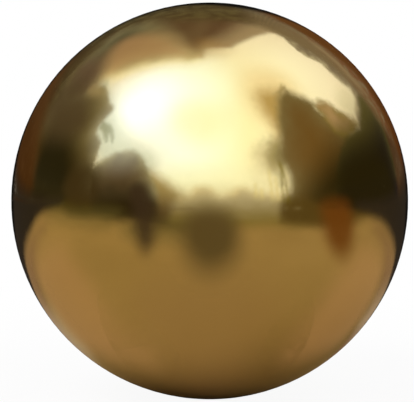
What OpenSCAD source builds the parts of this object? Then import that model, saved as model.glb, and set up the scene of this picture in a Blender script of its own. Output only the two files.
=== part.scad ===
// Polished hollow ball: two drawn half shells of sheet steel, butt welded round
// the equator, ground flush outside and plated gold. The origin is the centre of
// the ball, and the weld lies in the XY plane.

/* [Ball] */
// Outside diameter of the finished ball
ball_d = 150; // [60:1:300]

/* [Half shells] */
// Thickness of the wall at the welded rim, which is the gauge of the sheet
rim_wall = 0.6; // [0.4:0.05:2]
// Thickness of the wall at the crown, where drawing stretches the sheet most
crown_wall = 0.5; // [0.3:0.05:2]

/* [Weld] */
// Width of the root bead that the weld leaves inside the ball
root_w = 2.4; // [1.6:0.1:6]
// Height that the root bead stands in from the wall
root_h = 0.35; // [0.15:0.05:0.8]

/* [Hidden] */
gold = [0.86, 0.68, 0.34];
$fn = 240;

ball_r = ball_d / 2;

// The punch is a little longer than a hemisphere, so each half of the cavity is
// an arc that meets the rim at rim_wall and the crown at crown_wall. Its centre
// lies on the axis, punch_z past the weld plane.
rim_r = ball_r - rim_wall;
crown_z = ball_r - crown_wall;
punch_z = (crown_z * crown_z - rim_r * rim_r) / (2 * crown_z);
punch_r = crown_z - punch_z;

// The root bead is a shallow round ridge: an arc through both its toes and its top.
root_r = (root_w * root_w / 4 + root_h * root_h) / (2 * root_h);
root_x = rim_r - root_h + root_r;

// The half of a disc of radius r that lies right of the axis, with its centre at height z.
module half_disc(r, z = 0) {
    intersection() {
        translate([0, z]) circle(r = r);
        translate([0, z - 2 * r]) square([2 * r, 4 * r]);
    }
}

// What the punch leaves empty above the weld plane, in one half shell.
module drawn_hollow() {
    intersection() {
        half_disc(punch_r, punch_z);
        square([ball_r, ball_r]);
    }
}

// Section of the weld's root bead, over the seam between the rims.
module root_bead() {
    translate([root_x, 0]) circle(r = root_r);
}

// Section of the sealed cavity: both hollows, less the bead.
module cavity_section() {
    difference() {
        union() {
            drawn_hollow();
            mirror([0, 1]) drawn_hollow();
        }
        root_bead();
    }
}

// The welded ball, ground and polished to a true sphere outside.
module ball() {
    color(gold)
    difference() {
        rotate_extrude() half_disc(ball_r);
        rotate_extrude() cavity_section();
    }
}

ball();
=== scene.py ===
"""Dresses a polished, gold plated hollow ball and sets the studio for its portrait.

The ball is a mirror, so most of what the eye reads on it is what stands round it. The
camera sees the ball on a pale floor in a white surround. Out of the camera's sight stands
a garden of soft cards, which only the mirror shows: earth, trees, a wall under its eaves
and a hazy sky, with painted shade, shadows and light among them. A bearing is a pair of
degrees, azimuth and elevation, seen from the ball: azimuth 0 is towards the camera, 90 to
its right, and 180 behind the ball.
"""

import logging
import math
from collections.abc import Iterator
from dataclasses import dataclass
from enum import Enum, IntEnum

import bmesh
import bpy
import numpy as np
from bpy.types import Material, Mesh, Node, NodeSocket, NodeTree, Object, World
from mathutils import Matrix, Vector


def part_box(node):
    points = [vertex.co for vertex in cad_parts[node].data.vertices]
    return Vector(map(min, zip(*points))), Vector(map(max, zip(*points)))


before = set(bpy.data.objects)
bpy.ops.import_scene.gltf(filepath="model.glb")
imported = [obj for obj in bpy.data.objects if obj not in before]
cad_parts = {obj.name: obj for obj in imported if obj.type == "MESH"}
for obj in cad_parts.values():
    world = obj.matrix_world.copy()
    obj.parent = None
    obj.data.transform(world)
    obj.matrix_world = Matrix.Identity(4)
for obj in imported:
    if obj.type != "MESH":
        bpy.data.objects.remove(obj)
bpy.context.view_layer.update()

LOG = logging.getLogger("ball")
DISC_SEGMENTS = 96
# Stands in for a divisor of zero.
TINY = 1e-12

Colour = tuple[float, float, float]
Bearing = tuple[float, float]
Value = NodeSocket | float
Feeds = dict[str | int, Value | Colour]


class Wiring:
    """A node tree being built, with short calls that add nodes and join them."""

    def __init__(self, tree: NodeTree) -> None:
        """Starts on the tree that the nodes go into."""
        self.tree = tree

    def add(self, kind: str, feeds: Feeds | None = None, **settings: object) -> Node:
        """Adds a node.

        Args:
            kind: the node's type.
            feeds: what its inputs get, by their names or numbers.
            **settings: properties to set on the node.

        Returns:
            The new node.
        """
        node = self.tree.nodes.new(kind)
        for name, value in settings.items():
            setattr(node, name, value)
        for socket, value in (feeds or {}).items():
            self.feed(node.inputs[socket], value)
        return node

    def feed(self, socket: NodeSocket, value: Value | Colour) -> None:
        """Gives an input its value.

        Args:
            socket: the input.
            value: an output to link to it, or a number or colour to set on it.
        """
        if isinstance(value, NodeSocket):
            self.tree.links.new(value, socket)
        elif socket.type == "RGBA":
            socket.default_value = (*value, 1.0)
        else:
            socket.default_value = value

    def math(self, operation: str, a: Value, b: Value = 0.0) -> NodeSocket:
        """Adds a Math node.

        Args:
            operation: the node's operation.
            a: the first value.
            b: the second value, which some operations leave unused.

        Returns:
            The result.
        """
        return self.add("ShaderNodeMath", {0: a, 1: b}, operation=operation).outputs[0]

    def ease(self, value: Value, low: Value, high: Value, start: Value = 0.0, end: Value = 1.0) -> NodeSocket:
        """Adds a Map Range node that goes smoothly from start to end.

        Args:
            value: what is mapped.
            low: the value up to which the result is start.
            high: the value from which the result is end.
            start: the result at low.
            end: the result at high.

        Returns:
            The mapped value.
        """
        feeds = {"Value": value, "From Min": low, "From Max": high, "To Min": start, "To Max": end}
        return self.add("ShaderNodeMapRange", feeds, interpolation_type="SMOOTHSTEP").outputs["Result"]

    def blend(self, share: Value, first: Value | Colour, second: Value | Colour) -> NodeSocket:
        """Adds a colour Mix node.

        Args:
            share: how much of the second colour is in the result.
            first: the colour at a share of 0.
            second: the colour at a share of 1.

        Returns:
            The mixed colour.
        """
        node = self.add("ShaderNodeMix", {"Factor": share}, data_type="RGBA")
        first_in, second_in = [socket for socket in node.inputs if socket.type == "RGBA"]
        self.feed(first_in, first)
        self.feed(second_in, second)
        return next(socket for socket in node.outputs if socket.type == "RGBA")

    def noise(self, where: Value, scale: Value, detail: float, seed: Value = 0.0) -> NodeSocket:
        """Adds a Noise Texture.

        Args:
            where: the coordinates.
            scale: lumps to a metre.
            detail: octaves of finer lumps.
            seed: which of the noise's patterns is used.

        Returns:
            The noise, which stays near 0.5.
        """
        feeds = {"Vector": where, "Scale": scale, "Detail": detail, "W": seed}
        return self.add("ShaderNodeTexNoise", feeds, noise_dimensions="4D").outputs[0]

    def place(self) -> NodeSocket:
        """Adds the place of the shaded point, in the object's own metres."""
        return self.add("ShaderNodeTexCoord").outputs["Object"]

    def stored(self, name: str) -> NodeSocket:
        """Adds a value that the mesh keeps at its points, under the name given."""
        return self.add("ShaderNodeAttribute", attribute_name=name).outputs["Fac"]

    def use(self, group: NodeTree, **values: Value) -> NodeSocket:
        """Places an effect.

        Args:
            group: the effect's node group.
            **values: its inputs, by name.

        Returns:
            The effect's output.
        """
        return self.add("ShaderNodeGroup", values, node_tree=group).outputs[0]


class Pattern(IntEnum):
    """Which of the noise's patterns each surface uses, so that no two look alike."""

    GOLD_DRIFT = 1
    GOLD_HAZE = 2
    GOLD_RIPPLE = 3
    CARD = 4
    EARTH = 5
    FLOOR = 6


@dataclass(frozen=True)
class Effects:
    """The effects that several materials share, each a node group that is built once."""

    # Octaves of the noises, and how many times its own swing the leaf noise moves an edge.
    CLOUD_DETAIL = 3
    LEAF_DETAIL = 5
    LEAF_PUSH = 4

    mottle: NodeTree
    frayed_edge: NodeTree

    @classmethod
    def build(cls) -> "Effects":
        """Builds every effect."""
        return cls(mottle=cls._mottle(), frayed_edge=cls._frayed_edge())

    @staticmethod
    def _start(name: str, output: str, **inputs: float) -> tuple[Wiring, Node, NodeSocket]:
        """Starts a group.

        Args:
            name: the group's name.
            output: the name of its one output.
            **inputs: each input's name and usual value.

        Returns:
            The group's wiring, its input node, and the socket that takes its result.
        """
        tree = bpy.data.node_groups.new(name, "ShaderNodeTree")
        for label, usual in inputs.items():
            socket = tree.interface.new_socket(label, in_out="INPUT", socket_type="NodeSocketFloat")
            socket.default_value = usual
        tree.interface.new_socket(output, in_out="OUTPUT", socket_type="NodeSocketFloat")
        wiring = Wiring(tree)
        given = wiring.add("NodeGroupInput")
        result = wiring.add("NodeGroupOutput")
        return wiring, given, result.inputs[output]

    @classmethod
    def _mottle(cls) -> NodeTree:
        """Builds soft, cloudy patches over a surface.

        Returns:
            The group: Size is the patches to a metre, Spread is how far the noise runs from
            bare to full, Seed picks the pattern, and Share goes from 0 to 1.
        """
        wiring, given, result = cls._start("mottle", "Share", Size=10.0, Spread=0.2, Seed=0.0)
        size, spread, seed = (given.outputs[name] for name in ("Size", "Spread", "Seed"))
        cloud = wiring.noise(wiring.place(), size, cls.CLOUD_DETAIL, seed)
        low = wiring.math("SUBTRACT", 0.5, spread)
        high = wiring.math("ADD", 0.5, spread)
        wiring.feed(result, wiring.ease(cloud, low, high))
        return wiring.tree

    @classmethod
    def _frayed_edge(cls) -> NodeTree:
        """Builds the mask of a card whose edge frays, as leaves do against the sky.

        Returns:
            The group: Depth is the degrees in from the outline, Feather the half width of the
            soft edge, Fray the degrees by which leaves move it, Leaf the leaves to a metre, and
            Mask goes from 0 outside to 1 inside.
        """
        wiring, given, result = cls._start("frayed edge", "Mask", Depth=0.0, Feather=1.0, Fray=1.0, Leaf=10.0)
        depth, feather, fray, leaf = (given.outputs[name] for name in ("Depth", "Feather", "Fray", "Leaf"))
        leaves = wiring.noise(wiring.place(), leaf, cls.LEAF_DETAIL)
        push = wiring.math("MULTIPLY", wiring.math("SUBTRACT", leaves, 0.5), fray)
        moved = wiring.math("ADD", depth, wiring.math("MULTIPLY", push, cls.LEAF_PUSH))
        wiring.feed(result, wiring.ease(moved, wiring.math("MULTIPLY", feather, -1.0), feather))
        return wiring.tree


def new_material(name: str) -> tuple[Material, Wiring, NodeSocket]:
    """Starts a material with an empty node tree.

    Args:
        name: the material's name.

    Returns:
        The material, its wiring, and the socket that takes its surface.
    """
    material = bpy.data.materials.new(name)
    material.use_nodes = True
    material.node_tree.nodes.clear()
    wiring = Wiring(material.node_tree)
    return material, wiring, wiring.add("ShaderNodeOutputMaterial").inputs["Surface"]


def seen_directly(wiring: Wiring) -> NodeSocket:
    """Adds the test for rays that show a thing itself: seen, mirrored or seen through glass.

    Args:
        wiring: the tree of the material or the world.

    Returns:
        1 for such a ray and 0 for one that only gathers light.
    """
    path = wiring.add("ShaderNodeLightPath")
    mirrored = wiring.math("MAXIMUM", path.outputs["Is Glossy Ray"], path.outputs["Is Transmission Ray"])
    return wiring.math("MAXIMUM", path.outputs["Is Camera Ray"], mirrored)


def new_object(name: str, mesh: Mesh, material: Material) -> Object:
    """Puts a mesh in the scene.

    Args:
        name: the object's name.
        mesh: its mesh.
        material: its one material.

    Returns:
        The new object.
    """
    mesh.materials.append(material)
    thing = bpy.data.objects.new(name, mesh)
    bpy.context.scene.collection.objects.link(thing)
    return thing


@dataclass(frozen=True)
class GoldPlate:
    """Bright gold plate on buffed steel, with the faint haze and drift of a real polish."""

    pale: Colour = (0.89, 0.71, 0.38)
    rich: Colour = (0.85, 0.67, 0.33)
    drift_size: float = 16.0
    drift_spread: float = 0.22
    bright: float = 0.06
    hazy: float = 0.11
    haze_size: float = 22.0
    haze_spread: float = 0.25
    ripple_size: float = 38.0
    ripple_detail: float = 1.0
    ripple_height: float = 0.00006

    def material(self, effects: Effects) -> Material:
        """Builds the finish.

        Args:
            effects: the shared effects.

        Returns:
            The material.
        """
        material, wiring, surface = new_material("gold_plate")
        drift = wiring.use(
            effects.mottle, Size=self.drift_size, Spread=self.drift_spread, Seed=Pattern.GOLD_DRIFT)
        haze = wiring.use(
            effects.mottle, Size=self.haze_size, Spread=self.haze_spread, Seed=Pattern.GOLD_HAZE)
        ripple = wiring.noise(wiring.place(), self.ripple_size, self.ripple_detail, Pattern.GOLD_RIPPLE)
        bump = wiring.add("ShaderNodeBump", {"Distance": self.ripple_height, "Height": ripple})
        shader = wiring.add("ShaderNodeBsdfPrincipled", {
            "Base Color": wiring.blend(drift, self.pale, self.rich),
            "Metallic": 1.0,
            "Roughness": wiring.ease(haze, 0.0, 1.0, self.bright, self.hazy),
            "Normal": bump.outputs["Normal"],
        })
        wiring.feed(surface, shader.outputs["BSDF"])
        return material


@dataclass
class HollowBall:
    """The ball: two drawn half shells, welded, ground flush, polished and plated."""

    node: str = "ball"
    plate: GoldPlate = GoldPlate()

    def __post_init__(self) -> None:
        """Measures the ball in the frame."""
        low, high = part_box(self.node)
        self.radius = (high.z - low.z) / 2

    def dress(self, effects: Effects) -> Object:
        """Gives the shell its plate.

        Args:
            effects: the shared effects.

        Returns:
            The shell.
        """
        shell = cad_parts[self.node]
        material = self.plate.material(effects)
        for slot in shell.material_slots:
            slot.material = material
        return shell


@dataclass(frozen=True)
class Coat:
    """Paint of a card: a colour at its foot and one up high, a hazy margin, and an edge that may fray.

    Widths and heights are in degrees, as seen from the ball, and leaf and patch are lumps to a
    metre. A high colour that isn't given is the low one, and a margin that isn't given is the high
    one. Half of the margin's haze is left at the depth `haze`, a quarter at twice that depth, and
    so on. The haze sets in above the horizon, and there `foot_feather` gives way to `feather`.
    """

    # Heights by which the haze is full, and between which the feathers change over.
    HAZE_TOP = 8
    FOOT_LOW = -1
    FOOT_TOP = 6
    # How far the noise of the blotches runs from bare to full.
    PATCH_SPREAD = 0.3

    low: Colour
    high: Colour | None = None
    margin: Colour | None = None
    foot: float = 0.0
    tall: float = 30.0
    haze: float = 3.0
    feather: float = 1.0
    foot_feather: float = 3.0
    fray: float = 0.0
    leaf: float = 9.0
    blotch: float = 0.0
    patch: float = 4.0
    cover: float = 1.0

    def material(self, name: str, effects: Effects) -> Material:
        """Builds the paint.

        Args:
            name: the material's name.
            effects: the shared effects.

        Returns:
            The material, which gives its own light, so that no lamp alters it.
        """
        material, wiring, surface = new_material(name)
        material.cycles.emission_sampling = "NONE"
        depth, rise = wiring.stored("depth"), wiring.stored("rise")
        feather = wiring.ease(rise, self.FOOT_LOW, self.FOOT_TOP, self.foot_feather, self.feather)
        edge = wiring.use(effects.frayed_edge, Depth=depth, Feather=feather, Fray=self.fray, Leaf=self.leaf)
        cloud = wiring.use(effects.mottle, Size=self.patch, Spread=self.PATCH_SPREAD, Seed=Pattern.CARD)
        stray = wiring.math("MULTIPLY", wiring.math("SUBTRACT", cloud, 0.5), self.blotch)
        # Painted shade: where the foot colour is the darker one, the rise paints shade low on the card.
        upward = wiring.ease(wiring.math("ADD", rise, stray), self.foot, self.tall)
        body = wiring.blend(upward, self.low, self.high or self.low)
        # Painted light: where the margin is paler than the body, its haze paints light over the card's edge.
        inward = wiring.math("MAXIMUM", wiring.math("ADD", depth, stray), 0.0)
        left = wiring.math("POWER", 0.5, wiring.math("DIVIDE", inward, self.haze))
        rim = wiring.math("MULTIPLY", left, wiring.ease(rise, 0.0, self.HAZE_TOP))
        colour = wiring.blend(rim, body, self.margin or self.high or self.low)
        share = wiring.math("MULTIPLY", edge, self.cover)
        clear = wiring.add("ShaderNodeBsdfTransparent").outputs[0]
        paint = wiring.add("ShaderNodeEmission", {"Color": colour}).outputs[0]
        wiring.feed(surface, wiring.add("ShaderNodeMixShader", {0: share, 1: clear, 2: paint}).outputs[0])
        return material


class Paint(Enum):
    """The paints that the cards come in."""

    SOFFIT = Coat((0.37, 0.31, 0.24), feather=1.5)
    LIT_WALL = Coat(
        (0.007, 0.005, 0.005), (0.005, 0.005, 0.005), (1.01, 0.99, 0.69), tall=62, haze=7, feather=7.5,
        fray=0.6, leaf=3, blotch=4, patch=2)
    WALL_LIGHT = Coat((0.49, 0.33, 0.22), feather=6, cover=0.7)
    WALL_SHADE = Coat((0.12, 0.073, 0.069), feather=5, cover=0.7)
    EAVES = Coat((0.079, 0.035, 0.018), feather=5.5, cover=0.9)
    # Painted light: a paler wash under the eaves' edge, which softens their shade.
    EAVES_LIGHT = Coat((0.42, 0.27, 0.12), feather=6, cover=0.4)
    PALE_AIR = Coat((0.66, 0.83, 1.04), feather=6, cover=0.85)
    SPRIG = Coat((0.21, 0.24, 0.096), feather=0.9, fray=1, leaf=14, cover=0.8)
    TALL_TREE = Coat(
        (0.054, 0.036, 0.008), (0.15, 0.13, 0.065), (0.32, 0.31, 0.23), foot=12, tall=34, haze=3.5,
        feather=1.2, fray=0.8, blotch=3)
    LOW_TREE = Coat(
        (0.028, 0.020, 0.008), (0.13, 0.10, 0.071), (0.36, 0.37, 0.30), tall=20, haze=2.5, feather=1.8,
        fray=0.8, blotch=3)
    # Painted shade: the dark heart of the left trees' foliage.
    LEFT_CORE_SHADE = Coat((0.017, 0.016, 0.008), feather=9, cover=0.9)
    LEFT_GLOOM = Coat((0.079, 0.060, 0.040), feather=7, cover=0.9)
    # Painted shade low down, where the low tree meets the tall one.
    LEFT_BASE_SHADE = Coat((0.053, 0.038, 0.017), feather=5, cover=0.9)
    LEAF_LIGHT = Coat((0.38, 0.33, 0.22), feather=2.5, fray=1, cover=0.6)
    TAN_BUSH = Coat(
        (0.073, 0.046, 0.021), (0.42, 0.36, 0.20), foot=-8, tall=16, feather=4.5, fray=0.8, blotch=3)
    BROWN_TREE = Coat(
        (0.096, 0.067, 0.020), (0.16, 0.095, 0.028), (0.21, 0.19, 0.11), tall=24, haze=5, feather=3.3,
        fray=0.8, blotch=4)
    BROWN_HAZE = Coat((0.50, 0.38, 0.15), feather=6, fray=1, leaf=8, cover=0.9)
    WARM_AIR = Coat((1.02, 0.94, 0.75), feather=9, cover=0.8)
    MID_AIR = Coat((1.16, 1.23, 0.61), feather=9, cover=0.4)
    LOW_AIR = Coat((0.58, 0.62, 0.52), feather=4.5, cover=0.5)
    HORIZON_AIR = Coat((1.12, 1.31, 1.29), feather=7, cover=0.5)
    TRUNK_AIR = Coat((0.90, 0.94, 0.87), feather=7, cover=0.5)
    TWIG = Coat((0.52, 0.46, 0.30), feather=0.35, cover=0.9)
    ROSY_BUSH = Coat(
        (0.18, 0.14, 0.086), (0.51, 0.38, 0.28), (0.24, 0.20, 0.060), foot=22, tall=38, feather=2.2,
        fray=1.2, blotch=4)
    THICKET = Coat(
        (0.005, 0.005, 0.021), (0.10, 0.095, 0.039), foot=10, tall=28, feather=1.4, fray=1, blotch=3)
    THICKET_SHADE = Coat((0.021, 0.017, 0.005), feather=13, cover=0.95)
    FAR_BUSH = Coat(
        (0.076, 0.041, 0.022), (0.19, 0.16, 0.14), (0.45, 0.44, 0.38), foot=20, tall=34, haze=2,
        feather=0.8, fray=1.2, leaf=10, blotch=10, patch=9)
    BUSH_AIR = Coat((0.55, 0.52, 0.38), feather=5, cover=0.3)
    HAZY_BUSH = Coat(
        (0.22, 0.18, 0.058), (0.50, 0.49, 0.42), (0.81, 0.76, 0.57), foot=-9, tall=9, haze=2, feather=3,
        foot_feather=4, fray=1, blotch=4)
    HAZY_CROWN = Coat((0.75, 0.75, 0.62), feather=5, fray=1.6, leaf=8, cover=0.75)
    CROWN_CORE = Coat((0.28, 0.25, 0.096), feather=4, fray=1.6, leaf=8, cover=0.75)
    TRUNK = Coat((0.20, 0.17, 0.005), feather=0.5, fray=0.15, leaf=12)
    FAINT_TRUNK = Coat((0.78, 0.76, 0.47), feather=0.6, fray=0.15, leaf=12)
    GROWTH = Coat(
        (0.005, 0.005, 0.005), (0.13, 0.11, 0.057), (0.081, 0.061, 0.032), foot=10, tall=50, feather=7,
        fray=1.5, leaf=5, blotch=60, patch=9, haze=5)
    RED_BRUSH = Coat(
        (0.070, 0.021, 0.006), (0.13, 0.058, 0.019), foot=4, feather=3, fray=1.5, leaf=5, blotch=30,
        patch=9)
    TAN_BRUSH = Coat(
        (0.16, 0.037, 0.005), (0.21, 0.17, 0.12), foot=10, tall=45, feather=4, fray=1.5, leaf=5, blotch=50,
        patch=9)
    PALE_BRUSH = Coat((0.30, 0.24, 0.17), feather=2, fray=1.5, leaf=5, cover=0.8)
    DIM_BRUSH = Coat((0.068, 0.049, 0.024), feather=4, fray=1.5, leaf=5, cover=0.7)
    # Painted shade on the ground far out to either side, which darkens the mirror towards its side rims.
    RIM_SHADE = Coat((0.20, 0.11, 0.092), feather=8, foot_feather=8, cover=0.5)
    # Painted light: paler patches on the ground beside the ball, near the mirror's lower rims.
    GROUND_HIGHLIGHT = Coat((0.51, 0.42, 0.31), feather=7, foot_feather=7, cover=0.5)
    # Dark reddish brown, a little lighter up high.
    RED_BROWN = Coat(
        (0.056, 0.022, 0.005), (0.088, 0.043, 0.017), tall=24, feather=6, fray=1.5, leaf=5, blotch=16,
        patch=8, cover=0.95)
    # Painted shade, near black, straight behind the ball; below the horizon it lies on the ground as the
    # ball's own painted shadow.
    BACK_SHADE = Coat((0.005, 0.005, 0.005), feather=4, foot_feather=4)
    REAR_SHADE = Coat((0.028, 0.023, 0.020), feather=3, foot_feather=4)
    # Painted shade on the ground along the foot of the trees and the post.
    GROUND_SHADE = Coat((0.12, 0.11, 0.044), feather=5, foot_feather=5, cover=0.6)
    # Painted shadow on the ground in front of the ball, where a camera stand would cast it.
    STAND_SHADOW = Coat((0.11, 0.083, 0.039), feather=7, foot_feather=7)
    # A dark post; where its card lies on the ground below the horizon it is the post's painted shadow.
    POST_AND_SHADOW = Coat((0.046, 0.032, 0.024), feather=3, foot_feather=4.5, cover=0.9)
    CLAY_POT = Coat((0.15, 0.058, 0.011), feather=4.5, foot_feather=5.5, cover=0.95)
    # A soft wash of darker earth.
    DARKER_EARTH = Coat((0.27, 0.17, 0.099), feather=14, foot_feather=14, cover=0.3)
    PALE_EARTH = Coat((0.46, 0.29, 0.17), feather=7, foot_feather=7, cover=0.5)


def rays_of(bearings: np.ndarray) -> np.ndarray:
    """Turns bearings into directions.

    Args:
        bearings: rows of azimuth and elevation, in degrees.

    Returns:
        Rows of unit vectors.
    """
    azimuth, elevation = np.radians(bearings).T
    flat = np.cos(elevation)
    return np.stack([np.sin(azimuth) * flat, -np.cos(azimuth) * flat, np.sin(elevation)], axis=1)


class SkyChart:
    """A flat map of the directions round one of them, in degrees."""

    def __init__(self, centre: np.ndarray) -> None:
        """Lays the map.

        Args:
            centre: the direction at the map's middle.
        """
        self.centre = centre / np.linalg.norm(centre)
        east = np.cross(self.centre, (0.0, 0.0, 1.0))
        self.east = east / np.linalg.norm(east)
        self.north = np.cross(self.east, self.centre)

    def flatten(self, rays: np.ndarray) -> np.ndarray:
        """Maps directions.

        Args:
            rays: rows of unit vectors.

        Returns:
            Rows of map places, in degrees from the middle.
        """
        away = np.degrees(np.arccos(np.clip(rays @ self.centre, -1.0, 1.0)))
        side = np.stack([rays @ self.east, rays @ self.north], axis=1)
        length = np.maximum(np.linalg.norm(side, axis=1), TINY)
        return side * (away / length)[:, None]

    def lift(self, places: np.ndarray) -> np.ndarray:
        """Maps back to directions.

        Args:
            places: rows of map places, in degrees from the middle.

        Returns:
            Rows of unit vectors.
        """
        away = np.linalg.norm(places, axis=1)
        side = places / np.maximum(away, TINY)[:, None]
        turn = np.radians(away)[:, None]
        outward = side[:, :1] * self.east + side[:, 1:] * self.north
        return np.cos(turn) * self.centre + np.sin(turn) * outward


def rounded(outline: np.ndarray, passes: int) -> np.ndarray:
    """Cuts the corners off a closed outline until it flows.

    Args:
        outline: its points.
        passes: how many times the corners are cut.

    Returns:
        The smoother outline.
    """
    quarter = 0.25
    for _ in range(passes):
        step = quarter * (np.roll(outline, -1, axis=0) - outline)
        near = outline + step
        far = outline + 3.0 * step
        outline = np.stack([near, far], axis=1).reshape(-1, 2)
    return outline


def depth_inside(points: np.ndarray, outline: np.ndarray) -> np.ndarray:
    """Measures how deep points lie inside a closed outline.

    Args:
        points: rows of places on a map.
        outline: the outline's corners, in order.

    Returns:
        Each point's distance to the outline, negative outside it.
    """
    edge = np.roll(outline, -1, axis=0) - outline
    offset = points[:, None, :] - outline[None]
    along = np.clip((offset * edge).sum(-1) / np.maximum((edge**2).sum(-1), TINY), 0.0, 1.0)
    gap = np.linalg.norm(offset - along[..., None] * edge, axis=-1).min(axis=1)
    rise = np.where(np.abs(edge[:, 1]) < TINY, TINY, edge[:, 1])
    crossing = outline[:, 0] + offset[..., 1] / rise * edge[:, 0]
    above = offset[..., 1] < 0.0
    crossed = (above != np.roll(above, -1, axis=1)) & (points[:, None, 0] < crossing)
    return np.where(crossed.sum(axis=1) % 2 == 1, gap, -gap)


def show_only_in_mirrors(card: Object) -> None:
    """Makes a stage piece one that only mirrors and glass show, and that blocks no light.

    Args:
        card: the stage piece.
    """
    card.visible_camera = card.visible_diffuse = card.visible_shadow = False


@dataclass
class Card:
    """A soft card that stands in the garden. Below the horizon it lies on the ground.

    A higher layer is a nearer one: each stands `layer_gap` metres nearer than the last, or lies
    `lift` metres over it. `step` is the width of the mesh's squares, in degrees.
    """

    paint: Paint
    outline: list[Bearing]
    layer: int
    step: float = 1.0
    corner_passes: int = 2
    name: str = ""
    far: float = 3.4
    layer_gap: float = 0.12
    lift: float = 0.0004

    def __post_init__(self) -> None:
        """Takes the paint's name where no other is given."""
        self.name = self.name or self.paint.name.lower()

    def build(self, ball_radius: float, material: Material) -> Object:
        """Builds the card.

        Args:
            ball_radius: height of the ball's centre over the ground.
            material: the card's paint.

        Returns:
            The card.
        """
        corners = rays_of(np.array(self.outline))
        chart = SkyChart(corners.mean(axis=0))
        outline = rounded(chart.flatten(corners), self.corner_passes)
        paint = self.paint.value
        reach = Effects.LEAF_PUSH / 2 * paint.fray
        border = max(paint.feather, paint.foot_feather) + reach + self.step
        low = outline.min(axis=0) - border
        counts = np.ceil((outline.max(axis=0) + border - low) / self.step).astype(int) + 1
        across, up = (low[axis] + self.step * np.arange(counts[axis]) for axis in (0, 1))
        places = np.stack(np.meshgrid(across, up), axis=-1).reshape(-1, 2)
        depth = depth_inside(places, outline)
        rays = chart.lift(places)
        mesh = self._mesh(self._stand(rays, ball_radius), depth, counts, border)
        rise = np.degrees(np.arcsin(np.clip(rays[:, 2], -1.0, 1.0)))
        for label, values in (("depth", depth), ("rise", rise)):
            mesh.attributes.new(label, "FLOAT", "POINT").data.foreach_set("value", values.astype(np.float32))
        card = new_object(self.name, mesh, material)
        show_only_in_mirrors(card)
        return card

    def _stand(self, rays: np.ndarray, ball_radius: float) -> np.ndarray:
        """Carries directions out to the card's distance, or down to the ground if that is nearer."""
        drop = ball_radius - self.lift * self.layer
        to_ground = drop / np.maximum(-rays[:, 2], TINY)
        return rays * np.minimum(self.far - self.layer_gap * self.layer, to_ground)[:, None]

    def _mesh(self, points: np.ndarray, depth: np.ndarray, counts: np.ndarray, border: float) -> Mesh:
        """Joins the points into a grid, without the squares that lie outside the soft edge."""
        columns, rows = counts
        index = np.arange(columns * rows).reshape(rows, columns)
        corners = [index[:-1, :-1], index[:-1, 1:], index[1:, 1:], index[1:, :-1]]
        quads = np.stack(corners, axis=-1).reshape(-1, 4)
        quads = quads[depth[quads].max(axis=1) > -border]
        mesh = bpy.data.meshes.new(self.name)
        mesh.from_pydata(points.tolist(), [], quads.tolist())
        return mesh


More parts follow.
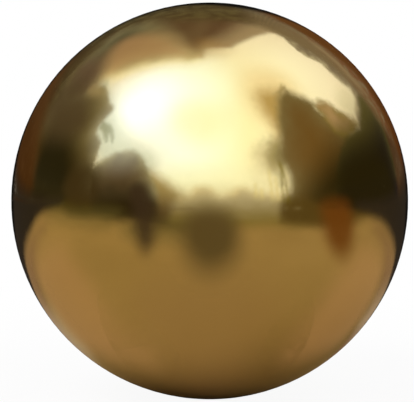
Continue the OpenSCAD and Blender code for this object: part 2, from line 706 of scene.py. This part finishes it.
@dataclass
class Garden:
    """The soft cards round the ball."""

    straight_behind: Bearing = (180.0, -3.0)
    trunk_width: float = 1.1

    def cards(self) -> list[Card]:
        """Lists every card."""
        groups = (self.house, self.left_trees, self.right_trees, self.middle, self.ground_things, self.behind)
        return [card for group in groups for card in group()]

    def _behind(self, places: list[tuple[float, float]]) -> list[Bearing]:
        """Turns places round the point straight behind the ball into bearings.

        Args:
            places: for each, the angle round that point, from the right and anticlockwise as the
                mirror shows it, and the distance from it, in degrees.

        Returns:
            Their bearings.
        """
        angle, away = np.array(places).T
        flat = np.stack([away * np.cos(np.radians(angle)), away * np.sin(np.radians(angle))], axis=1)
        rays = SkyChart(rays_of(np.array([self.straight_behind]))[0]).lift(flat)
        azimuth = np.degrees(np.arctan2(rays[:, 0], -rays[:, 1]))
        return list(zip(azimuth, np.degrees(np.arcsin(rays[:, 2]))))

    def _widened(self, line: list[Bearing]) -> list[Bearing]:
        """Gives the line up the middle of a trunk its width.

        Args:
            line: the line's bearings.

        Returns:
            The outline: up its left side and down its right one.
        """
        half = self.trunk_width / 2
        left, right = ([(azimuth + side, elevation) for azimuth, elevation in line] for side in (-half, half))
        return left + right[::-1]

    def house(self) -> Iterator[Card]:
        """Lists the wall behind the ball, its eaves overhead, and painted light and shade on the wall."""
        yield Card(Paint.SOFFIT, [
            (-75, 80), (-51.4, 86.6), (-144.1, 86.3), (-166.8, 84), (152.6, 83.2), (132.5, 79.2),
            (139.9, 73.2), (144.1, 67.1), (147.1, 62.1), (148.8, 57.5), (150.8, 52.7), (150.2, 50),
            (148.3, 49.5), (160, 36), (-170, 30), (-150, 60)], layer=1, step=0.5, corner_passes=0)
        yield Card(Paint.LIT_WALL, [
            (-49, 83), (-76, 77.5), (-86.5, 72), (-91, 66), (-96, 60), (-98.5, 55.5), (-100.5, 52.5),
            (-102.5, 49.5), (-100.5, 47), (-96.5, 45.5), (-94, 40), (-104, 28), (-125, 18), (-160, 16),
            (178, 26), (178, 50), (-170, 76), (-143, 84)], layer=2)
        yield Card(Paint.EAVES, [
            (-168, 30.5), (-158, 51.5), (-148.5, 66), (-130.5, 76.5), (-119, 82), (-113.5, 84.5),
            (-133, 85.5), (-164.5, 83.5), (172.5, 78.5), (164.5, 71.5), (163.5, 61), (165.5, 46.5),
            (170, 29), (175, 20), (-172, 19)], layer=3, corner_passes=1)
        yield Card(Paint.WALL_LIGHT, [
            (-127, 45), (-140, 44), (-147.5, 44.5), (-149.5, 53), (-147.5, 64.5), (-132.5, 76),
            (-117, 80.5), (-91.5, 80), (-102.5, 73.5), (-106, 66), (-109, 59), (-108.5, 51),
            (-112.5, 47)], layer=4)
        yield Card(Paint.WALL_SHADE, [
            (-139, 28), (-143, 32), (-140, 38), (-124, 46), (-112, 46), (-103, 44), (-105, 39), (-114, 34),
            (-130, 29)], layer=5)
        # Painted light under the eaves.
        yield Card(Paint.EAVES_LIGHT, [
            (-158, 77), (-174.5, 76.5), (166, 78), (145.5, 79.5), (124, 81.5), (91.5, 85), (26.5, 88),
            (-70, 87), (-124.5, 84)], layer=6)

    def left_trees(self) -> Iterator[Card]:
        """Lists the trees to the left of the camera: a tall one, a low one, pale air behind them, and painted
        shade and light on them.
        """
        yield Card(Paint.PALE_AIR, [
            (-106, 44), (-105.5, 47.5), (-98, 48.5), (-87.5, 47), (-77.5, 44), (-67.5, 40), (-58, 37),
            (-50, 33), (-43, 31), (-36, 28), (-30, 22), (-34, 14), (-60, 12), (-86, 30)], layer=3)
        yield Card(Paint.SPRIG, [
            (-78, 35), (-76, 36.5), (-72, 37), (-67.5, 36), (-65, 34), (-62, 31), (-62, 28.5), (-65, 31),
            (-67.5, 32.5), (-66, 29.5), (-66.5, 28), (-69.5, 30.5),
            (-74, 32.5)], layer=4, step=0.4, corner_passes=1)
        yield Card(Paint.TAN_BUSH, [
            (-36, 18), (-32, 17.5), (-28, 15.5), (-24, 13.5), (-20, 11), (-16.5, 8.5), (-12.5, 5.5),
            (-9.5, 2), (-7, -3), (-6, -7.5), (-6.5, -11), (-36, -10)], layer=4)
        yield Card(Paint.LOW_TREE, [
            (-88, 0), (-86, 9), (-76.5, 13.5), (-69.5, 16), (-68, 17.5), (-65.5, 19.5), (-61.5, 22),
            (-57, 25), (-53, 26), (-48.5, 27), (-44, 27), (-39.5, 24.5), (-36.5, 21.5), (-34.5, 18.5),
            (-31.5, 13.5), (-29, 10), (-28, 6), (-28, 2), (-27.5, -6), (-38, -8), (-62, -6),
            (-84, -4)], layer=6, step=0.7, corner_passes=1)
        yield Card(Paint.TALL_TREE, [
            (-148, -3), (-150, 24), (-128, 28), (-112.5, 34.5), (-109, 37.5), (-108, 40.5), (-105.5, 43.5),
            (-101.5, 47), (-95, 47.5), (-90.5, 46.5), (-84, 45), (-75.5, 44), (-74.5, 41.5), (-75.5, 38.5),
            (-76.5, 36), (-77, 33), (-76.5, 31.5), (-73.5, 29.5), (-70, 28), (-69, 26), (-69, 24),
            (-68.5, 20.5), (-69, 17), (-68.5, 10.5), (-68, 1.5), (-66, -4.5), (-76, -5), (-96, -3),
            (-120, -4)], layer=7, step=0.7, corner_passes=1)
        # Painted shade in the heart of the left trees.
        yield Card(Paint.LEFT_CORE_SHADE, [
            (-124, 0), (-120, 14), (-114, 25), (-96, 27), (-84, 18), (-79, 8), (-84, 0),
            (-100, -2)], layer=8)
        yield Card(Paint.LEFT_GLOOM, [
            (-127.5, 18.5), (-136.5, 21), (-142, 23.5), (-139.5, 29), (-128.5, 37), (-109.5, 41.5),
            (-91, 38), (-85, 31), (-92, 25), (-106.5, 20)], layer=9)
        # Painted shade at the foot of the low tree.
        yield Card(Paint.LEFT_BASE_SHADE, [
            (-86, 10), (-81.5, 14), (-74, 17.5), (-68, 17), (-63.5, 13), (-62, 3.5), (-67, 0), (-81, -1),
            (-88, 4.5)], layer=10)
        yield Card(Paint.LEAF_LIGHT, [
            (-113, 40), (-110.5, 43.5), (-104, 46), (-97, 46), (-93.5, 44), (-98.5, 41.5),
            (-105.5, 39.5)], layer=10)

    def right_trees(self) -> Iterator[Card]:
        """Lists the trees to the right of the camera."""
        yield Card(Paint.WARM_AIR, [
            (40, 66), (60, 72), (88, 66), (90, 56), (76, 46), (54, 36), (46, 36), (36, 44),
            (34, 56)], layer=3)
        yield Card(Paint.BROWN_HAZE, [
            (48, 60), (42.5, 56), (41, 50), (42.5, 45.5), (44, 39.5), (44.5, 33.5), (50.5, 36), (60, 46.5),
            (70.5, 55), (64, 57.5), (56.5, 59.5)], layer=4)
        yield Card(Paint.LOW_AIR, [
            (113, 37), (125.5, 33), (130.5, 29), (125.5, 28), (111, 25.5), (107.5, 28.5), (104.5, 32),
            (104, 36)], layer=4)
        yield Card(Paint.FAR_BUSH, [
            (104, -2), (106, 16), (107.5, 24.5), (111, 27), (115, 29), (120.5, 29), (124.5, 29), (126, 30),
            (127.5, 31), (126.5, 34), (125.5, 36.5), (127, 39), (129, 41), (130.5, 43), (129.5, 46),
            (130, 48), (131.5, 50), (135.5, 51), (142, 51), (148.5, 49.5), (156, 46), (168, 36), (180, 28),
            (180, -2), (160, -4), (140, -4), (120, -4)], layer=5, step=0.7, corner_passes=1)
        yield Card(Paint.TWIG, [
            (68, 54.9), (64.2, 55.6), (58.8, 56), (59.6, 56.5), (65.5, 56.2), (69.5, 56.5), (73.9, 57.8),
            (78.1, 58.5), (78.5, 58.2), (73.1, 56.7), (76.7, 56.5), (78.9, 57.2), (79.2, 56.7), (76, 55.8),
            (71.1, 55.3)], layer=5, step=0.25, corner_passes=0)
        yield Card(Paint.BROWN_TREE, [
            (35.5, -9.5), (37.5, -3), (38.5, 1), (40, 4), (43.5, 6.5), (44.5, 9.5), (45, 13), (44, 17.5),
            (41.5, 21), (39, 23.5), (40.5, 26), (43.5, 30.5), (45.5, 35.5), (47.5, 40.5), (51, 45.5),
            (56.5, 51), (62.5, 54), (69.5, 55.5), (75, 55.5), (76, 53.5), (77.5, 51.5), (81, 49),
            (83.5, 47), (85.5, 44), (84.5, 40), (89.5, 33.5), (98, 26), (106, 16), (108, -5), (90, -7),
            (66, -11)], layer=6, step=0.7, corner_passes=1)
        yield Card(Paint.ROSY_BUSH, [
            (83.5, 42), (88.5, 43), (92.5, 42), (96, 40), (98.5, 37.5), (100.5, 34.5), (103.5, 32),
            (106, 29.5), (109, 27.5), (108, 24.5), (101, 23), (90, 25.5), (84.5, 29.5), (84, 34.5),
            (85, 39)], layer=7)
        yield Card(Paint.THICKET, [
            (73, -4), (73, 1.5), (74.5, 12), (80.5, 20), (90, 24.5), (100, 25), (109.5, 24), (113, 25.5),
            (118, 26.5), (124, 27), (127, 28), (134.5, 25), (138, 21.5), (138.5, 19.5), (137.5, 17),
            (136, 15), (134.5, 12.5), (133.5, 9.5), (133, 6), (132.5, 2.5),
            (133, -4)], layer=8, corner_passes=1)
        yield Card(Paint.THICKET_SHADE, [
            (56, 2), (60.5, 11), (70, 19.5), (85, 23.5), (105.5, 23.5), (122.5, 17), (127.5, 11),
            (129, 5.5), (129.5, 0.5), (127, -3.5), (74, -4)], layer=9)

    def middle(self) -> Iterator[Card]:
        """Lists the low bushes straight ahead, and the thin trunks beside them."""
        yield Card(Paint.HORIZON_AIR, [
            (-25, 19), (-5.5, 21.5), (17, 19), (29, 15.5), (34, 8), (33.5, 2), (16, 1), (-5, 1), (-21.5, 2),
            (-28.5, 11.5)], layer=1)
        yield Card(Paint.MID_AIR, [
            (-27, 52), (-17.5, 57), (-3.5, 57.5), (8, 52), (10, 42.5), (2.5, 34.5), (-8.5, 32.5),
            (-19, 36.5), (-26.5, 44)], layer=1)
        yield Card(Paint.TRUNK_AIR, [
            (26.5, 29.5), (33, 33), (42.5, 34.5), (46.5, 20), (47, 9.5), (43, 4.5), (28, 4.5), (21.5, 7.5),
            (22.5, 18)], layer=2)
        yield Card(Paint.HAZY_CROWN, [
            (29, 30.5), (33, 33), (39, 35.5), (45, 35), (45, 22.5), (42, 19), (36.5, 18), (30, 18.5),
            (27, 24), (26, 27.5)], layer=3, step=0.7, name="trunk_crown")
        yield Card(Paint.CROWN_CORE, [
            (36, 31), (41, 33.5), (46, 33), (44, 21), (39.5, 17.5), (34.5, 18),
            (32.5, 23.5)], layer=4, step=0.7)
        yield Card(Paint.BUSH_AIR, [
            (-18, 8), (-13.5, 10.5), (-5, 11), (3, 11.5), (12, 11.5), (20.5, 9.5), (23.5, 6.5), (20.5, 2),
            (-16, 2.5)], layer=3)
        yield Card(Paint.HAZY_BUSH, [
            (-20, -10), (-20.5, -3), (-19.5, 0), (-17, 4), (-13, 5.5), (-10, 7), (-7.5, 10), (-3.5, 11),
            (0, 10), (3, 7.5), (5.5, 5.5), (8.5, 6.5), (12, 8), (15.5, 10), (18.5, 10), (22, 8.5),
            (25, 7.5), (28.5, 7), (32.5, 6.5), (37, 5.5), (42, 4.5), (50, 4), (56, -10), (30, -9),
            (0, -10)], layer=5, step=0.7, name="middle_bushes")
        trunks = [
            [(40.5, 22), (40.4, 16.8), (39.7, 10.8), (40, 2.5)],
            [(41.1, 20.4), (41.8, 14.7), (42.1, 9.2), (42.8, 2.5)],
            [(39.9, 21), (41.6, 14.5)],
        ]
        faint_trunks = [
            [(33.3, 18.4), (33.4, 11.1), (34, 3)],
            [(36.5, 15.1), (36.6, 10), (37, 3)],
            [(27.9, 9.3), (28.2, 3.6)],
            [(24.9, 12), (24.9, 4.2)],
        ]
        for paint, middles in ((Paint.TRUNK, trunks), (Paint.FAINT_TRUNK, faint_trunks)):
            for number, line in enumerate(middles, start=1):
                name = f"{paint.name.lower()}_{number}"
                yield Card(paint, self._widened(line), layer=7, step=0.3, corner_passes=0, name=name)

    def ground_things(self) -> Iterator[Card]:
        """Lists what stands low or lies on the ground, with painted shadows, shade and light on the ground.
        """
        # Painted shade on the ground far to the right; mirrored, to the left.
        rim = [(96, -8), (104, -12), (110, -18), (114, -30), (112, -45), (125, -60), (150, -60), (150, -10)]
        mirrored = [(-azimuth, elevation) for azimuth, elevation in rim]
        # Darker earth on the ground in front of the ball.
        yield Card(Paint.DARKER_EARTH, [
            (-20, -26), (0, -24), (20, -26), (34, -36), (30, -54), (0, -66), (-30, -54),
            (-40, -36)], layer=1, name="darker_middle")
        yield Card(Paint.PALE_EARTH, [
            (-84, -14), (-70, -22.5), (-60, -29.5), (-53, -35.5), (-47.5, -42), (-40, -47.5), (-30, -51.5),
            (-33, -59), (-45, -57.5), (-59.5, -55.5), (-75, -53), (-94.5, -49), (-101, -43),
            (-104.5, -35.5), (-109.5, -27.5), (-112, -19)], layer=1, name="pale_left")
        yield Card(Paint.PALE_EARTH, [
            (88, -14), (73.5, -22.5), (63.5, -29.5), (56, -36.5), (48, -42.5), (39.5, -48), (43, -56.5),
            (58, -55.5), (73, -53), (92, -48.5), (99.5, -42.5), (106, -35.5), (109, -27),
            (110, -19)], layer=1, name="pale_right")
        yield Card(Paint.RIM_SHADE, mirrored, layer=2, name="rim_shade_left")
        yield Card(Paint.RIM_SHADE, rim, layer=2, name="rim_shade_right")
        # Painted light on the ground to the left of the ball.
        yield Card(Paint.GROUND_HIGHLIGHT, [
            (-138.5, -25), (-134.5, -31), (-129.5, -37), (-124, -43.5), (-117.5, -50.5), (-79.5, -51.5),
            (-88, -46), (-95.5, -40), (-102.5, -34)], layer=13, name="left_haze")
        # Painted light on the ground to the right of the ball.
        yield Card(Paint.GROUND_HIGHLIGHT, [
            (140, -21), (136, -26), (131.5, -32), (126.5, -38), (102.5, -40.5), (109.5, -34),
            (115.5, -27.5)], layer=13, name="right_haze")
        # Painted shade on the ground in front, between the post and the camera stand's painted shadow.
        yield Card(Paint.GROUND_SHADE, [
            (-46, -6), (-20, -6), (12, -6), (12, -12), (0, -15), (-20, -16), (-44, -14)], layer=9)
        # Painted shade on the ground at the foot of the left trees.
        yield Card(Paint.GROUND_SHADE, [
            (-104, -1), (-80, -1), (-46, -1), (-46, -10), (-60, -10), (-80, -8),
            (-98, -6)], layer=9, name="left_ground_shade")
        # Painted shadow of a camera stand; the card lies on the ground in front of the ball.
        yield Card(Paint.STAND_SHADOW, [
            (-9, -2), (0, 0), (9, -2), (13, -7), (15, -13), (12.5, -21), (3, -26.5), (-6.5, -25),
            (-13, -17), (-13, -7)], layer=10, name="camera_stand_shadow")
        # A dark post, with its painted shadow on the ground below the horizon.
        yield Card(Paint.POST_AND_SHADOW, [
            (-44, 10), (-36, 12), (-30.5, 3), (-27.5, -8), (-26, -15), (-29, -20), (-33, -18), (-38, -10),
            (-42.5, 0)], layer=10, step=0.7)
        yield Card(Paint.CLAY_POT, [
            (63, 0.5), (72, 1.5), (81, -0.5), (82.5, -5), (79.5, -12), (75, -18), (68, -21), (61.5, -18),
            (59.5, -13), (61, -6)], layer=10)
        yield Card(Paint.REAR_SHADE, [
            (-88, 2), (-87.5, 0), (-100.5, -3.5), (-109, -6.5), (-112.5, -9.5), (-120.5, -12),
            (-128, -14.5), (-132.5, -17), (-133, -20), (-141.5, -23.5), (-130, -60), (180, -75), (130, -60),
            (141.5, -23.5), (133, -19.5), (132.5, -17), (128.5, -14), (121, -12), (114.5, -9.5),
            (103.5, -6.5), (88, -3), (88, 1), (135, 3), (180, 3), (-135, 3)], layer=12)

    def behind(self) -> Iterator[Card]:
        """Lists the dim growth straight behind the ball, and painted shade there, which its rim mirrors as
        thin streaks.
        """
        yield Card(Paint.GROWTH, self._behind([
            (70, 30), (72, 56), (85, 60), (100, 58), (112, 44), (122, 42), (132, 50), (142, 56), (160, 52),
            (172, 46), (180, 30), (180, 10), (90, 10)]), layer=10)
        yield Card(Paint.TAN_BRUSH, self._behind([
            (20, 30), (20, 42), (27, 50), (40, 57), (55, 60), (70, 60), (80, 50), (76, 30)]), layer=10)
        yield Card(Paint.PALE_BRUSH, self._behind([
            (34, 44), (40, 46), (48, 47), (56, 46), (60, 45), (58, 49), (50, 51), (42, 51),
            (36, 50)]), layer=12)
        yield Card(Paint.DIM_BRUSH, self._behind([
            (120, 36), (122, 46), (130, 50), (138, 46), (142, 38), (136, 34), (128, 33)]), layer=12)
        yield Card(Paint.RED_BRUSH, self._behind([
            (6, 10), (8, 34), (20, 37), (30, 38), (38, 36), (46, 40), (54, 42), (62, 41), (70, 38),
            (75, 33), (76, 12)]), layer=11)
        # A dark reddish brown band low behind the ball on the left.
        yield Card(Paint.RED_BROWN, [
            (-164, -2), (-162, 20), (-146, 22), (-130, 19), (-118, 12), (-116, -2)], layer=11)
        # Painted shade straight behind the ball, which gives the mirror's rim its dark outline.
        yield Card(Paint.BACK_SHADE, self._behind([
            (0, 30), (12, 24), (25, 16), (45, 13), (58, 18), (68, 28), (80, 34), (92, 30), (104, 24),
            (120, 21), (140, 21), (160, 25), (175, 28), (190, 34), (270, 34), (350, 34)]), layer=13)

    def build(self, ball_radius: float, effects: Effects) -> list[Object]:
        """Builds every card, with one material to a paint.

        Args:
            ball_radius: height of the ball's centre over the ground.
            effects: the shared effects.

        Returns:
            The cards.
        """
        cards = self.cards()
        used = dict.fromkeys(card.paint for card in cards)
        materials = {paint: paint.value.material(f"{paint.name.lower()}_card", effects) for paint in used}
        return [card.build(ball_radius, materials[card.paint]) for card in cards]


@dataclass(frozen=True)
class Glow:
    """A patch of bright haze in the sky, which adds to what lies behind it."""

    name: str
    bearing: Bearing
    spread: float
    strength: float
    colour: Colour
    far: float = 3.8
    rings: int = 24
    spokes: int = 72

    def build(self) -> Object:
        """Builds the glow.

        Returns:
            A cap of sky that fades towards its rim.
        """
        chart = SkyChart(rays_of(np.array([self.bearing]))[0])
        mesh = bpy.data.meshes.new(self.name)
        web = bmesh.new()
        bmesh.ops.create_circle(web, cap_ends=True, cap_tris=True, segments=self.spokes, radius=self.spread)
        spokes = [edge for edge in web.edges if min(v.co.length for v in edge.verts) < self.spread / 2]
        bmesh.ops.subdivide_edges(web, edges=spokes, cuts=self.rings, use_grid_fill=True)
        places = np.array([vertex.co.xy for vertex in web.verts])
        for vertex, ray in zip(web.verts, chart.lift(places)):
            vertex.co = ray * self.far
        web.to_mesh(mesh)
        web.free()
        fade = (1.0 - np.minimum(np.linalg.norm(places, axis=1) / self.spread, 1.0) ** 2) ** 2
        mesh.attributes.new("fade", "FLOAT", "POINT").data.foreach_set("value", fade.astype(np.float32))
        glow = new_object(self.name, mesh, self._material())
        show_only_in_mirrors(glow)
        return glow

    def _material(self) -> Material:
        """Builds clear air that gives off light."""
        material, wiring, surface = new_material(self.name)
        material.cycles.emission_sampling = "NONE"
        strength = wiring.math("MULTIPLY", wiring.stored("fade"), self.strength)
        light = wiring.add("ShaderNodeEmission", {"Color": self.colour, "Strength": strength}).outputs[0]
        clear = wiring.add("ShaderNodeBsdfTransparent").outputs[0]
        wiring.feed(surface, wiring.add("ShaderNodeAddShader", {0: light, 1: clear}).outputs[0])
        return material


@dataclass
class Sky:
    """The haze of the sky, in glows that add up. The veil hangs before the trees."""

    glows: tuple[Glow, ...] = (
        Glow("sun_haze", (-63, 52), spread=28, strength=0.94, colour=(0.21, 0.50, 1.00)),
        Glow("sun_halo", (-38, 50), spread=48, strength=0.74, colour=(0.00, 0.16, 1.00)),
        Glow("high_haze", (-26, 70), spread=30, strength=0.34, colour=(0.15, 0.61, 1.00)),
        Glow("low_haze", (-12, 27), spread=36, strength=0.66, colour=(0.06, 0.32, 1.00)),
        Glow("wide_haze", (6, 40), spread=74, strength=0.37, colour=(0.63, 0.99, 0.50)),
        Glow("right_haze", (103, 56), spread=32, strength=0.35, colour=(0.45, 0.70, 1.00)),
        Glow("veil", (-54, 37), spread=27, strength=0.58, colour=(0.40, 0.56, 0.99), far=1.9),
    )

    def build(self) -> list[Object]:
        """Builds every glow."""
        return [glow.build() for glow in self.glows]


def disc(name: str, radius: float, height: float, material: Material) -> Object:
    """Builds a flat round sheet.

    Args:
        name: the sheet's name.
        radius: its radius.
        height: its height in the frame.
        material: its material.

    Returns:
        The sheet.
    """
    mesh = bpy.data.meshes.new(name)
    web = bmesh.new()
    bmesh.ops.create_circle(web, cap_ends=True, segments=DISC_SEGMENTS, radius=radius)
    bmesh.ops.translate(web, verts=web.verts, vec=(0.0, 0.0, height))
    web.to_mesh(mesh)
    web.free()
    return new_object(name, mesh, material)


@dataclass
class Earth:
    """Bare brown earth, which only the mirror shows. It takes the ball's own shadow."""

    radius: float = 3.6
    lift: float = 0.00001
    patch_size: float = 5.0
    warm: Colour = (0.35, 0.25, 0.11)
    dull: Colour = (0.31, 0.22, 0.094)

    def build(self, ball_radius: float, effects: Effects) -> Object:
        """Lays the earth.

        Args:
            ball_radius: height of the ball's centre over the floor.
            effects: the shared effects.

        Returns:
            The earth.
        """
        material, wiring, surface = new_material("earth")
        patches = wiring.use(effects.mottle, Size=self.patch_size, Seed=Pattern.EARTH)
        colour = wiring.blend(patches, self.warm, self.dull)
        wiring.feed(surface, wiring.add("ShaderNodeBsdfDiffuse", {"Color": colour}).outputs[0])
        earth = disc("earth", self.radius, self.lift - ball_radius, material)
        show_only_in_mirrors(earth)
        return earth


@dataclass
class Floor:
    """The pale floor under the ball. It fades into the white surround and keeps the shadow.

    From below it is clear.
    """

    radius: float = 6.0
    pale: Colour = (0.90, 0.90, 0.895)
    speck_shade: float = 0.985
    speck_size: float = 60.0
    speck_spread: float = 0.3
    near: float = 0.10
    far: float = 0.35
    whitening: float = 0.93

    def build(self, ball_radius: float, effects: Effects) -> Object:
        """Lays the floor.

        Args:
            ball_radius: height of the ball's centre over the floor.
            effects: the shared effects.

        Returns:
            The floor.
        """
        material, wiring, surface = new_material("floor")
        speck = wiring.use(
            effects.mottle, Size=self.speck_size, Spread=self.speck_spread, Seed=Pattern.FLOOR)
        dark = tuple(self.speck_shade * part for part in self.pale)
        matt = wiring.add("ShaderNodeBsdfDiffuse", {"Color": wiring.blend(speck, self.pale, dark)}).outputs[0]
        white = wiring.add("ShaderNodeEmission").outputs[0]
        away = wiring.add("ShaderNodeVectorMath", {0: wiring.place()}, operation="LENGTH").outputs["Value"]
        fade = wiring.ease(away, self.near, self.far, self.whitening, 1.0)
        share = wiring.math("MULTIPLY", fade, seen_directly(wiring))
        above = wiring.add("ShaderNodeMixShader", {0: share, 1: matt, 2: white}).outputs[0]
        below = wiring.add("ShaderNodeBsdfTransparent").outputs[0]
        side = wiring.add("ShaderNodeNewGeometry").outputs["Backfacing"]
        wiring.feed(surface, wiring.add("ShaderNodeMixShader", {0: side, 1: above, 2: below}).outputs[0])
        material.cycles.emission_sampling = "NONE"
        floor = disc("floor", self.radius, -ball_radius, material)
        return floor


@dataclass
class Surround:
    """The white surround: white where it is seen or mirrored, and a soft even light."""

    light: float = 0.55

    def build(self) -> World:
        """Builds the world.

        Returns:
            The world.
        """
        world = bpy.data.worlds.new("surround")
        bpy.context.scene.world = world
        world.use_nodes = True
        world.node_tree.nodes.clear()
        world.cycles.sampling_method = "NONE"
        wiring = Wiring(world.node_tree)
        strength = wiring.ease(seen_directly(wiring), 0.0, 1.0, self.light, 1.0)
        background = wiring.add("ShaderNodeBackground", {"Color": (1.0, 1.0, 1.0), "Strength": strength})
        wiring.add("ShaderNodeOutputWorld", {"Surface": background.outputs[0]})
        return world


@dataclass
class SoftLamp:
    """A round soft box, turned to the ball. Mirrors show the sky's glow in its place."""

    name: str
    bearing: Bearing
    distance: float
    width: float
    power: float

    def build(self) -> Object:
        """Hangs the lamp.

        Returns:
            The lamp.
        """
        lamp = bpy.data.lights.new(self.name, "AREA")
        lamp.shape = "DISK"
        lamp.size = self.width
        lamp.energy = self.power
        holder = bpy.data.objects.new(self.name, lamp)
        bpy.context.scene.collection.objects.link(holder)
        ray = Vector(rays_of(np.array([self.bearing]))[0])
        holder.location = ray * self.distance
        holder.rotation_mode = "QUATERNION"
        holder.rotation_quaternion = ray.to_track_quat("Z", "Y")
        holder.visible_glossy = False
        return holder


@dataclass
class PortraitCamera:
    """A long lens, a little above the ball's middle, that fills the frame with the ball."""

    lens: float = 100.0
    sensor: float = 36.0
    elevation: float = 3.0
    frame_width: int = 414
    ball_pixels: float = 198.48
    off_centre: tuple[float, float] = (2.6, 0.09)

    def build(self, ball_radius: float) -> Object:
        """Sets the camera up.

        Args:
            ball_radius: radius of the ball, which fixes the distance.

        Returns:
            The camera.
        """
        pixels_per_slope = self.lens / self.sensor * self.frame_width
        distance = ball_radius / math.sin(math.atan(self.ball_pixels / pixels_per_slope))
        ray = Vector(rays_of(np.array([(0.0, self.elevation)]))[0])
        right = Vector((1.0, 0.0, 0.0))
        up = ray.cross(right)
        per_pixel = distance / pixels_per_slope
        aim = -right * self.off_centre[0] * per_pixel - up * self.off_centre[1] * per_pixel
        camera = bpy.data.cameras.new("portrait_camera")
        camera.lens = self.lens
        camera.sensor_width = self.sensor
        holder = bpy.data.objects.new("portrait_camera", camera)
        bpy.context.scene.collection.objects.link(holder)
        holder.location = ray * distance
        holder.rotation_mode = "QUATERNION"
        holder.rotation_quaternion = (holder.location - aim).to_track_quat("Z", "Y")
        bpy.context.scene.camera = holder
        return holder


def main() -> None:
    """Builds the camera, the ball and the studio, and logs the ball's radius and the faces of the shell, the
    cards and the glows.
    """
    logging.basicConfig(level=logging.INFO, format="%(name)s: %(message)s")
    bpy.context.scene.view_settings.view_transform = "Standard"
    effects = Effects.build()
    ball = HollowBall()
    PortraitCamera().build(ball.radius)
    shell = ball.dress(effects)
    LOG.info("%s: radius %.4f m, %d faces", shell.name, ball.radius, len(shell.data.polygons))
    for card in Garden().build(ball.radius, effects):
        LOG.info("card %s: %d faces", card.name, len(card.data.polygons))
    for glow in Sky().build():
        LOG.info("glow %s: %d faces", glow.name, len(glow.data.polygons))
    Earth().build(ball.radius, effects)
    Floor().build(ball.radius, effects)
    Surround().build()
    SoftLamp("key_lamp", (-60, 50), distance=1.8, width=1.2, power=15).build()
    SoftLamp("fill_lamp", (60, 40), distance=2.0, width=1.5, power=9).build()


if __name__ == "__main__":
    main()
